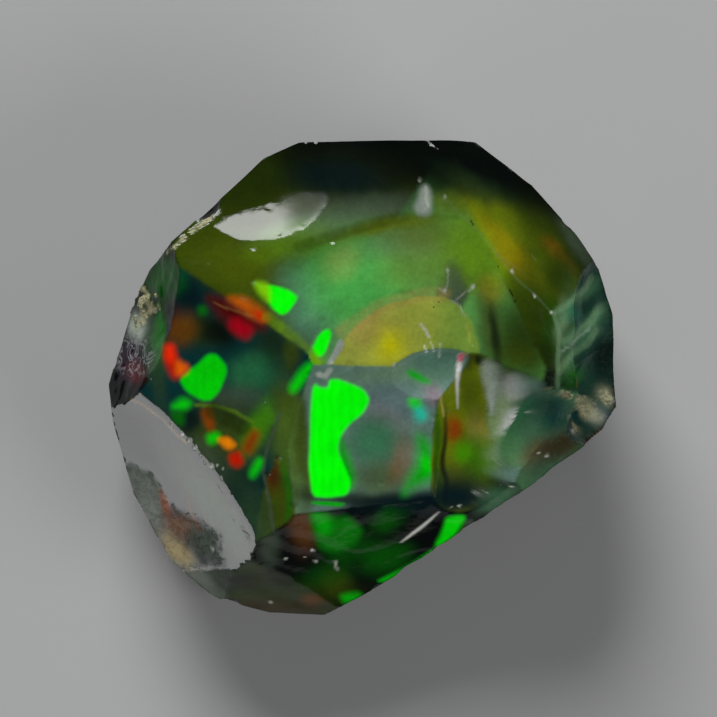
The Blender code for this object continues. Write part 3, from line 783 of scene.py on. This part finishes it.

# Streaks: breaks, colour, amount, half width (mm) and path. Cracks, healed seams and pale worn ridges, and
# painted highlights: thin lines of reflected light on edges and chips.
STREAKS_AND_PAINTED_GLINTS = [
    (UPPER, "dark_moss", 0.5, 0.2, [(-2.2, 4.7), (-1.3, 5.08), (-0.5, 5.32), (0.5, 5.58), (1.5, 5.8)]),
    (UPPER, "tan", 0.45, 0.26, [(-0.7, 1.75), (0.0, 2.15), (0.5, 2.52), (1.0, 2.74), (2.0, 2.98),
     (2.9, 3.02)]),
    (UPPER, "grey_green", 0.22, 0.04, [(2.9, 6.5), (3.5, 5.9), (4.0, 5.4), (4.5, 4.85), (5.0, 4.3),
     (5.35, 3.87), (6.15, 3.0), (6.8, 2.3)]),
    (UPPER, "bright_olive", 0.7, 0.2, [(-3.3, 2.25), (-2.4, 1.5), (-1.5, 0.6)]),
    # Painted highlights: thin bright lines of reflected light on the edges round the small plate.
    (UPPER, "pearl", 0.75, 0.05, [(2.12, 1.95), (2.3, 1.75), (2.42, 1.5)]),
    (UPPER, "lens", 0.8, 0.05, [(3.72, 1.95), (3.82, 1.7), (3.86, 1.35)]),
    (UPPER, "pearl", 0.4, 0.03, [(3.2, 2.8), (3.45, 2.65), (3.65, 2.25)]),
    (UPPER, "pearl", 0.35, 0.03, [(3.35, 2.85), (3.6, 3.05), (3.85, 3.2), (4.0, 3.35)]),
    (UPPER, "pearl", 0.3, 0.03, [(2.75, 3.25), (2.95, 3.05), (3.05, 3.5), (3.05, 4.0)]),
    ("left", "bright_olive", 0.7, 0.07, [(-5.9, -0.85), (-5.2, -0.92), (-4.5, -1.12), (-3.85, -1.5)]),
    ("left", "dark_moss", 0.8, 0.28, [(-5.3, -1.1), (-4.7, -1.4), (-4.2, -1.7)]),
    (("left", "fold"), "smoke", 0.7, 0.06, [(-2.9, -1.2), (-3.1, -1.7), (-3.35, -2.5), (-3.5, -3.3),
     (-3.3, -4.3), (-3.12, -5.4)]),
    ("left", "tan", 0.25, 0.04, [(-5.2, 2.75), (-4.6, 2.5), (-3.9, 2.3)]),
    # Painted highlight: a pale line of reflected light at the ridge's apex.
    (WINDOW + ("crown", "eye", "left"), "pearl", 0.6, 0.10, [(-1.5, 0.2), (-1.25, 0.1), (-1.1, 0.35)]),
    # Painted highlight: the bright core of the drop of light near the top edge.
    (UPPER, "pearl", 0.6, 0.05, [(2.32, 6.85), (2.3, 6.5), (2.38, 6.2)]),
    # Painted highlights: small white strokes of reflected light on the crest.
    (("crown", "eye", "crest_chip"), "white", 0.6, 0.03, [(2.25, 1.2), (2.35, 0.95)]),
    (("crown", "eye", "crest_chip"), "white", 0.5, 0.03, [(2.5, 1.3), (2.62, 1.0)]),
    (("crown", "eye", "crest_chip", "flute"), "pearl", 0.5, 0.04, [(2.85, 1.25), (2.78, 0.8)]),
    (("flute", "window"), "tan", 0.6, 0.04, [(2.84, -0.3), (2.83, -0.8), (2.9, -1.3)]),
    # Painted reflections: pale patches of light on the flutes.
    (("flute", "low_right"), "pearl", 0.55, 0.06, [(4.85, -2.3), (4.6, -2.8)]),
    (("flute", "low_right"), "pearl", 0.5, 0.09, [(4.75, -3.4), (4.65, -4.1)]),
    (RIGHT, "grey_green", 0.6, 0.10, [(6.85, 2.4), (7.25, 2.62), (7.6, 2.9), (8.0, 3.25), (8.25, 3.7)]),
    (RIGHT, "grey_green", 0.5, 0.14, [(7.25, 1.35), (7.6, 1.45), (7.9, 1.75), (8.3, 2.15), (8.5, 2.6)]),
    (RIGHT, "grey_green", 0.45, 0.11, [(7.0, 0.3), (7.2, 0.62), (7.6, 0.95), (8.1, 1.3), (8.4, 1.8)]),
    (RIGHT, "frost", 0.4, 0.04, [(7.1, 1.0), (7.5, 1.2), (7.75, 1.5), (8.2, 1.85)]),
    (RIGHT, "grey_green", 0.6, 0.08, [(6.95, -0.2), (6.97, 0.8), (7.05, 1.6), (6.8, 2.35)]),
    ("mirror", "brown", 0.7, 0.05, [(-6.2, -4.1), (-6.1, -4.7), (-5.8, -5.4)]),
    ("mirror", "tan", 0.35, 0.05, [(-9.0, -0.3), (-8.0, -0.8), (-7.1, -1.4), (-6.3, -2.2)]),
    (("toe", "heel"), "pearl", 0.5, 0.05, [(-0.9, -6.5), (-0.85, -6.8)]),
    (("toe", "heel", "flake"), "smoke", 0.7, 0.10, [(3.6, -5.5), (3.9, -5.1), (4.1, -5.3)]),
]

# Grains and dots: middle (mm) and radius (mm). Bright specks where the surface is chipped or dusty, and
# painted glints: small sparks of reflected light on tiny chips.
SPECKS_AND_PAINTED_GLINTS = [
    (2.1, 7.1, 0.08), (-3.85, 4.65, 0.08), (3.95, 3.32, 0.11), (2.95, 3.2, 0.08), (3.05, 3.9, 0.07),
    (5.35, 3.87, 0.09), (6.15, 3.0, 0.08), (2.95, 6.5, 0.07), (6.75, 2.4, 0.08), (-1.05, 0.62, 0.08),
    (1.15, 0.55, 0.08), (-6.8, -1.6, 0.07), (-6.4, -1.95, 0.09), (-6.15, -2.18, 0.13),
    (-5.95, -2.42, 0.10), (-5.6, -2.95, 0.07), (-5.35, -3.08, 0.13), (-5.15, -3.05, 0.06),
    (-5.0, -3.5, 0.07), (-4.95, -3.15, 0.05), (-5.75, -2.7, 0.05), (-1.75, -6.1, 0.09),
    (-1.65, -6.5, 0.08), (-2.7, -6.4, 0.07), (-2.0, -6.35, 0.05), (-3.3, -8.0, 0.09),
    (-5.35, -6.05, 0.10), (4.03, -4.0, 0.08), (4.4, -4.0, 0.06), (3.5, -4.5, 0.07), (3.2, -4.55, 0.05),
    (4.15, -4.45, 0.06), (5.85, -1.15, 0.07), (6.45, -0.9, 0.07), (5.7, -0.55, 0.06),
    (6.6, -2.7, 0.10), (6.3, -2.6, 0.07), (7.55, -1.8, 0.10), (5.35, -3.8, 0.08), (4.9, -4.6, 0.07),
]

# The palette's gamma, the part of a body colour that a face shows under the lamps, the most of a flash
# that is its own glow, the brightest body colour, and how far a colour takes to stop at a ridge (mm).
DISPLAY_GAMMA = 2.2
DISPLAY_GAIN = 0.80
OWN_GLOW = 0.6
BRIGHTEST = 0.88
BREAK_SOFTNESS = 0.10

# Painted light: the faces that slope away from the lamps have their body colour painted brighter, in place
# of the lamp light that they don't get: how much brighter each is.
PAINTED_LIGHT_GAIN = {"window": 1.8, "flute": 1.9, "crest_chip": 1.8, "second_flute": 1.8, "third_flute": 1.5,
               "low_right": 1.5, "toe": 2.1, "flake": 2.1, "heel": 1.5, "fold": 1.5, "left": 1.3,
               "shoulder": 1.2, "mirror": 1.6, "instep": 1.8, "lower_chip": 1.8, "middle_chip": 1.8,
               "upper_chip": 1.5, "left_edge": 1.6}


def tint(name):
    """A palette colour as the part of the light that it gives back."""
    return (np.array(PALETTE[name]) / 255.0) ** DISPLAY_GAMMA / DISPLAY_GAIN


def smooth_step(value):
    """Goes from zero to one as the value does, and starts and ends gently."""
    value = np.clip(value, 0, 1)
    return value * value * (3 - 2 * value)


def on_breaks(wanted):
    """Share of each point that lies on these breaks, with a soft step at their ridges."""
    chosen = np.isin(names, wanted)
    past_ridge = reaches[~chosen].min(0) - reaches[chosen].min(0)
    return smooth_step(0.5 + past_ridge / BREAK_SOFTNESS) * front_facing


def rounded(outline):
    """The outline with each corner cut off twice, so that it bends smoothly."""
    corners = np.array(outline)
    for _ in range(2):
        following = np.roll(corners, -1, axis=0)
        pairs = [0.8 * corners + 0.2 * following, 0.2 * corners + 0.8 * following]
        corners = np.stack(pairs, 1).reshape(-1, 2)
    return [tuple(corner) for corner in corners]


def inside_distance(x, y, outline):
    """Distance to a closed outline, above zero inside it and below zero outside it."""
    inside = np.zeros(len(x), bool)
    for (ax, ay), (bx, by) in zip(outline, outline[1:] + outline[:1]):
        level = by - ay if by != ay else 1e-9
        inside ^= ((ay > y) != (by > y)) & (x < ax + (y - ay) * (bx - ax) / level)
    edge = path_distance(x, y, outline + outline[:1])
    return np.where(inside, edge, -edge)


def lay(under, over, share):
    """One colour over another, each for the whole stone or for each point."""
    return under + (over - under) * share[:, None]


normals = np.empty(len(points) * 3)
stone_mesh.vertex_normals.foreach_get("vector", normals)
normals = normals.reshape(-1, 3)
front_facing = (normals[:, 2] > 0.05) & (points[:, 2] > 2.5)

# The places of the colours wander a little, so that no outline is straight: how far apart the bends are
# (mm), how large they are (mm) and the seeds of their noise. Fine outlines take only a share of it.
WANDER = [(1.3, 0.16, (61, 62)), (0.45, 0.05, (63, 64))]
FINE_SHARE = 0.3
flow = sum(size * np.stack([smooth_noise(points / apart, seed) for seed in seeds], -1)
           for apart, size, seeds in WANDER)
x, y = (points[:, :2] + flow).T
x_fine, y_fine = (points[:, :2] + flow * FINE_SHARE).T

body = tint("night")
for name, colour in BODY.items():
    body = lay(body, tint(colour), on_breaks(name))

# The sides and the back: dark common opal, stained by noise. For each stain its colour, amount, size (mm),
# the seed of its noise, its contrast and its level.
STAINS = [("smoke", 0.6, 3.1, 71, 0.9, 0.5), ("dark_brown", 0.7, 1.7, 81, 1.6, -0.2),
          ("deep_teal", 0.5, 2.3, 91, 1.4, 0.0)]
side_body = tint("night")
for colour, amount, size, seed, contrast, level in STAINS:
    share = amount * smooth_step(level + contrast * rough_noise(points / size, seed))
    side_body = lay(side_body, tint(colour), share)
outer = is_flat | [name == "skin" or name.startswith("back") for name in names]
past_ridge = reaches[~outer].min(0) - reaches[outer].min(0)
side = (1 - smooth_step((normals[:, 2] - 0.02) / 0.25)) * smooth_step(0.5 + past_ridge / BREAK_SOFTNESS)
body = lay(body, side_body, side)

# A cloud is half as strong at this many times its half sizes, with a flat middle and a quick fall.
CLOUD_SPREAD = 1.12
CLOUD_FALL = 3.2
for wanted, colour, amount, middle, half_sizes, turn in CLOUDS_AND_PAINTED_SHADE:
    apart = oval_distance(x, y, middle, half_sizes, turn) / CLOUD_SPREAD
    share = amount * 0.5 ** (apart ** CLOUD_FALL)
    body = lay(body, tint(colour), share * on_breaks(wanted))

# The lens: a clear yellow scar in the upper face, tan at its upper left and green at its right. Its tints
# have a colour, an amount, a middle (mm) and a spread (mm).
LENS_EDGE = [(-1.0, 0.55), (-0.85, 1.2), (-0.4, 1.75), (0.0, 2.08), (0.5, 2.48), (1.0, 2.72), (2.0, 2.96),
             (2.9, 2.95), (3.5, 2.6), (3.95, 2.0), (4.15, 1.3), (4.3, 0.4), (0.9, -0.2), (-1.0, -0.2)]
LENS_SOFTNESS = 0.12
lens = smooth_step(inside_distance(x_fine, y_fine, LENS_EDGE) / LENS_SOFTNESS + 0.5)
LENS_TINTS = [("tan", 0.6, (0.0, 1.9), (1.1, 0.8)), ("yellow", 0.95, (0.95, 1.1), (0.6, 0.7))]
lens_body = tint("lens")
for colour, amount, middle, spread in LENS_TINTS:
    share = amount * np.exp(-oval_distance(x, y, middle, spread, 0) ** 2)
    lens_body = lay(lens_body, tint(colour), share)
lens_body = lay(lens_body, tint("sage"), smooth_step((x - 2.2) / 1.2) * 0.9)
body = lay(body, lens_body, lens * on_breaks(UPPER))

# Flashes and painted highlights: a body colour and a glow of the same colour.
fire = np.zeros((len(points), 3))
for wanted, colour, glow, softness, outline in FLASHES_AND_PAINTED_GLINTS:
    share = smooth_step(inside_distance(x_fine, y_fine, rounded(outline)) / softness + 0.5)
    share = share * on_breaks(wanted)
    body = lay(body, tint(colour) * (1 - OWN_GLOW * glow), share)
    fire = lay(fire, tint(colour) * DISPLAY_GAIN * OWN_GLOW * glow, share)

for wanted, colour, amount, width, path in STREAKS_AND_PAINTED_GLINTS:
    share = amount * smooth_step(1.5 - path_distance(x_fine, y_fine, path) / width)
    share = share * (0.75 + 0.25 * smooth_noise(points / 0.22, 93)) * on_breaks(wanted)
    body = lay(body, tint(colour), share)
    fire *= 1 - share[:, None]

# Dots and painted glints are pale and a little grainy, with a soft rim.
grain = crust.copy()
for cx, cy, radius in SPECKS_AND_PAINTED_GLINTS:
    apart = np.hypot(points[:, 0] - cx, points[:, 1] - cy) / (0.8 * radius)
    share = np.where(front_facing, smooth_step(1.25 - apart), 0.0)
    body = lay(body, tint("pearl"), share * 0.7)
    grain = np.maximum(grain, share * 0.5)

# Painted light: the body colour of each of these faces is made brighter by its gain.
painted_light = np.ones(len(points))
for name, gain in PAINTED_LIGHT_GAIN.items():
    painted_light += (gain - 1) * on_breaks(name)
body = np.minimum(body * painted_light[:, None], BRIGHTEST)

# Fire in the sides and back: cells of pure colour (mm across), where the pick of a place is high enough.
CELL_SIZE = 1.15
CELL_PICK = 0.55
CELL_COLOURS = ("mid_green", "green", "teal", "dim_green", "copper")
cells = points * [1.0, 1.0, 0.8] / CELL_SIZE
cells = cells + np.stack([rough_noise(points / 1.6, seed) for seed in (94, 97, 99)], -1) * 0.55
corner = np.floor(cells).astype(np.int64)
pick = corner_value(*corner.T, 7)
kind = corner_value(*corner.T, 8)
border = np.abs(cells - corner - 0.5).max(1)
above_base = smooth_step((points[:, 2] - 0.6) / 1.0)
glow = smooth_step((0.5 - border) / 0.3) * (pick > CELL_PICK) * side * above_base
kind = np.clip(((kind + 1) / 2 * len(CELL_COLOURS)).astype(int), 0, len(CELL_COLOURS) - 1)
cell_fire = np.array([tint(name) for name in CELL_COLOURS])[kind]
body = lay(body, cell_fire, glow * 0.55)
fire = fire + cell_fire * (glow * 0.15)[:, None]

# Sandy crust, cream with darker stains, and with holes that the stone shows through.
holes = smooth_step(0.9 + rough_noise(points * 2.6, 43) * 2.2)
crust_tone = lay(tint("cream"), tint("dark_olive"), smooth_step(0.35 + rough_noise(points * 1.9, 44) * 1.6))
grain = grain * (0.35 + 0.65 * holes)
body = lay(body, crust_tone, crust * (0.3 + 0.7 * holes))
fire *= 1 - crust[:, None]

# Frosted hackle: the breaks that have it, and how much. The mirror is frosted at its lower left, and the
# frost ends below the clean top edge (mm).
FROST_TOP = 8.1
FROSTED = ((HACKLED, 0.35), (CHIPPED, 0.3), ("instep", 0.4), ("skin", 0.3))
FROSTED_MIRROR = [(-8.6, -2.9), (-7.6, -3.4), (-6.9, -4.4), (-6.2, -4.8), (-5.2, -5.6), (-4.9, -6.6),
                  (-6.5, -7.0), (-9.0, -4.0)]
frost = side * 0.35
for wanted, amount in FROSTED:
    frost = np.maximum(frost, on_breaks(wanted) * amount)
frost = frost * smooth_step((FROST_TOP - points[:, 1]) / 0.6)
lower_mirror = smooth_step(inside_distance(x, y, FROSTED_MIRROR) / 0.5 + 0.5)
frost = np.maximum(frost, on_breaks(("mirror", "instep")) * lower_mirror)

# Dull patches, which reflect a wide blur: the glint's right end and the steep scars.
dull = smooth_step((points[:, 0] + 3.3) / 1.3) * smooth_step((6.9 - points[:, 1]) / 0.5)
dull = np.maximum(dull * on_breaks("glint"), on_breaks(("fold", "second_flute", "third_flute")) * 0.6)

# Thin pale squiggles on the left edge: the middle of their patch and how far they reach (mm). They are
# raised hackle lines, painted pale as highlights where they catch the light.
SQUIGGLE_MIDDLE, SQUIGGLE_REACH = (-8.15, 0.9), 0.95
from_middle = np.hypot(points[:, 0] - SQUIGGLE_MIDDLE[0], points[:, 1] - SQUIGGLE_MIDDLE[1])
squiggle = on_breaks("left_edge") * smooth_step((SQUIGGLE_REACH - from_middle) / 0.4)

# The colours of the stretched walls are evened out as well, mostly between points that are close.
COLOUR_ROUNDS = 8
closeness = np.repeat(1 / (edge_lengths() ** 2 + 1e-4), 2)
for _ in range(COLOUR_ROUNDS):
    for colours in (body, fire):
        colours += EVENING_STEP * wall[:, None] * (neighbour_mean(colours, closeness) - colours)


# The stone's material: glassy opal. The colours above are its body, with painted shade and painted
# highlights in it, and its fire, and nodes add the fine detail: cloudy grain, frost, pale squiggles, sand
# in the crust, thin striations in the fire, and relief.

for name, colours in (("body", body), ("fire", fire)):
    opaque = np.concatenate([np.clip(colours, 0, 1), np.ones((len(colours), 1))], axis=1)
    layer = stone_mesh.attributes.new(name, "FLOAT_COLOR", "POINT")
    layer.data.foreach_set("color", opaque.astype(np.float32).ravel())
for name, shares in (("grain", grain), ("frost", frost), ("dull", dull), ("squiggle", squiggle)):
    layer = stone_mesh.attributes.new(name, "FLOAT", "POINT")
    layer.data.foreach_set("value", shares.astype(np.float32))

FROST_COLOUR = (0.15, 0.19, 0.15, 1.0)
SQUIGGLE_COLOUR = (0.30, 0.31, 0.33, 1.0)
SAND_PALE = (0.46, 0.45, 0.29, 1.0)
SAND_DARK = (0.09, 0.08, 0.04, 1.0)
GLASSY_ROUGHNESS = 0.045
OPAL_IOR = 1.45


def opal_material():
    material = bpy.data.materials.new("opal")
    material.use_nodes = True
    nodes = material.node_tree.nodes
    links = material.node_tree.links
    shader = nodes["Principled BSDF"]

    def layer(name, output):
        node = nodes.new("ShaderNodeAttribute")
        node.attribute_name = name
        return node.outputs[output]

    def noise(scale, detail, roughness=0.55, distortion=0.0, vector=None):
        node = nodes.new("ShaderNodeTexNoise")
        node.inputs["Scale"].default_value = scale
        node.inputs["Detail"].default_value = detail
        node.inputs["Roughness"].default_value = roughness
        node.inputs["Distortion"].default_value = distortion
        links.new(vector or place, node.inputs["Vector"])
        return node.outputs["Fac"]

    def ranged(value, low, high, to_low, to_high):
        node = nodes.new("ShaderNodeMapRange")
        for socket, number in zip(node.inputs[1:5], (low, high, to_low, to_high)):
            socket.default_value = number
        links.new(value, node.inputs[0])
        return node.outputs[0]

    def math_node(operation, first, second):
        node = nodes.new("ShaderNodeMath")
        node.operation = operation
        for socket, value in zip(node.inputs, (first, second)):
            if isinstance(value, (int, float)):
                socket.default_value = value
            else:
                links.new(value, socket)
        return node.outputs[0]

    def times(first, second):
        return math_node("MULTIPLY", first, second)

    def summed(total, *others):
        for other in others:
            total = math_node("ADD", total, other)
        return total

    def mixed(factor, first, second, blend="MIX"):
        node = nodes.new("ShaderNodeMix")
        node.data_type = "RGBA"
        node.blend_type = blend
        for socket, value in zip((node.inputs["Factor"], node.inputs["A"], node.inputs["B"]),
                                 (factor, first, second)):
            if isinstance(value, (int, float, tuple)):
                socket.default_value = value
            else:
                links.new(value, socket)
        return node.outputs["Result"]

    coordinates = nodes.new("ShaderNodeTexCoord")
    millimetres = nodes.new("ShaderNodeVectorMath")
    millimetres.operation = "SCALE"
    millimetres.inputs["Scale"].default_value = 1000.0
    links.new(coordinates.outputs["Object"], millimetres.inputs[0])
    place = millimetres.outputs[0]

    body_colour = layer("body", "Color")
    fire_colour = layer("fire", "Color")
    grain_share = layer("grain", "Fac")
    frost_share = layer("frost", "Fac")
    dull_share = layer("dull", "Fac")
    squiggle_share = layer("squiggle", "Fac")

    # Cloudy grain in the body, in two sizes.
    cloud = ranged(noise(1.3, 5.0), 0.3, 0.7, 0.86, 1.12)
    speck = ranged(noise(7.0, 3.0), 0.35, 0.65, 0.93, 1.07)
    colour = mixed(1.0, body_colour, times(cloud, speck), "MULTIPLY")

    # Frosted hackle scatters light, so it is paler in thin lines.
    frosting = ranged(noise(3.2, 5.0, 0.65, 0.6), 0.5, 0.72, 0.0, 1.0)
    frosted = times(frosting, frost_share)
    colour = mixed(times(frosted, 0.4), colour, FROST_COLOUR)

    # Squiggles: pale lines where the noise crosses its middle value, painted highlights on raised hackle.
    wander = noise(1.7, 2.0, 0.5, 1.4)
    line = ranged(math_node("ABSOLUTE", math_node("SUBTRACT", wander, 0.5), 0.0), 0.015, 0.05, 1.0, 0.0)
    squiggles = times(line, squiggle_share)
    colour = mixed(times(squiggles, 0.5), colour, SQUIGGLE_COLOUR)

    # The crust is sand: cream, tan and brown grains with dark gaps between them.
    sand = nodes.new("ShaderNodeTexVoronoi")
    sand.inputs["Scale"].default_value = 10.0
    links.new(place, sand.inputs["Vector"])
    sand_tone = nodes.new("ShaderNodeValToRGB")
    sand_tone.color_ramp.elements[0].color = SAND_PALE
    sand_tone.color_ramp.elements[1].color = SAND_DARK
    sand_tone.color_ramp.elements[1].position = 0.5
    links.new(times(sand.outputs["Distance"], noise(2.6, 4.0)), sand_tone.inputs["Fac"])
    colour = mixed(ranged(grain_share, 0.55, 0.9, 0.0, 0.85), colour, sand_tone.outputs["Color"])
    links.new(colour, shader.inputs["Base Color"])

    # The fire has thin striations and fades a little from place to place.
    strata = nodes.new("ShaderNodeTexWave")
    strata.inputs["Scale"].default_value = 0.9
    strata.inputs["Distortion"].default_value = 4.0
    strata.inputs["Detail"].default_value = 2.0
    links.new(place, strata.inputs["Vector"])
    flicker = times(ranged(strata.outputs["Fac"], 0.0, 1.0, 0.88, 1.05),
                    ranged(noise(1.0, 2.0), 0.35, 0.65, 0.85, 1.1))
    links.new(mixed(1.0, fire_colour, flicker, "MULTIPLY"), shader.inputs["Emission Color"])
    shader.inputs["Emission Strength"].default_value = 1.0

    # Glassy where it broke clean, duller on frost, crust and finger-marked patches.
    smear = ranged(noise(0.55, 3.0), 0.45, 0.7, 0.0, 0.05)
    roughness = summed(smear, GLASSY_ROUGHNESS, times(frost_share, 0.4), times(grain_share, 0.7),
                       times(dull_share, 0.45))
    links.new(roughness, shader.inputs["Roughness"])
    shader.inputs["IOR"].default_value = OPAL_IOR
    shader.inputs["Specular IOR Level"].default_value = 0.42

    # Fine relief: hackle in the frost, grains in the crust, and almost nothing on the glassy breaks.
    height = summed(times(noise(4.5, 4.0), 0.004), times(frosted, 0.02), times(squiggles, 0.02),
                    times(times(sand.outputs["Distance"], grain_share), -0.05))
    bump = nodes.new("ShaderNodeBump")
    bump.inputs["Strength"].default_value = 1.0
    bump.inputs["Distance"].default_value = 1.0 * MM
    links.new(height, bump.inputs["Height"])
    links.new(bump.outputs["Normal"], shader.inputs["Normal"])
    return material


stone_mesh.materials.append(opal_material())
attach(stone, "root")
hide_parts("rough_opal")


# Light and camera: a large round soft box above the top, a low one that the lower left face mirrors, and
# a wide dim one at the right that no face mirrors, in a dark room. The long lens looks straight down.


LAMP_DISTANCE = 400 * MM


def soft_box(name, azimuth, lean, half_angle, radiance, mirrored=True):
    """A round lamp of a given half angle (degrees) and brightness, as the stone sees it."""
    radius = LAMP_DISTANCE * math.tan(math.radians(half_angle))
    light = bpy.data.lights.new(name, "AREA")
    light.shape = "DISK"
    light.size = 2 * radius
    light.energy = radiance * math.pi * math.pi * radius * radius
    lamp = bpy.data.objects.new(name, light)
    from_stone = Vector(facing(azimuth, lean))
    lamp.location = from_stone * LAMP_DISTANCE
    lamp.rotation_mode = "QUATERNION"
    lamp.rotation_quaternion = from_stone.to_track_quat("Z", "Y")
    lamp.visible_glossy = mirrored
    bpy.context.scene.collection.objects.link(lamp)


soft_box("key", 105, 56, 15, 12.8)
soft_box("low_fill", 212, 83, 11, 4.8)
soft_box("side_fill", 335, 60, 20, 3.0, mirrored=False)

world = bpy.data.worlds.new("dim_room")
world.use_nodes = True
world.node_tree.nodes["Background"].inputs["Color"].default_value = (0.95, 0.98, 1.0, 1.0)
world.node_tree.nodes["Background"].inputs["Strength"].default_value = 0.06
bpy.context.scene.world = world

# The view at the height of the stone's face: its width and middle, and the lens above it, all in mm.
VIEW_WIDTH = 25.6
VIEW_MIDDLE = (-0.107, 0.768)
LENS_DISTANCE = 300
SENSOR = 36.0
FACE_HEIGHT = 7.0
lens = bpy.data.cameras.new("macro")
lens.sensor_width = SENSOR
lens.lens = SENSOR * (LENS_DISTANCE - FACE_HEIGHT) / VIEW_WIDTH
lens.clip_start = 0.01
camera = bpy.data.objects.new("macro", lens)
camera.location = (VIEW_MIDDLE[0] * MM, VIEW_MIDDLE[1] * MM, LENS_DISTANCE * MM)
bpy.context.scene.collection.objects.link(camera)
bpy.context.scene.camera = camera
bpy.context.scene.view_settings.view_transform = "Standard"
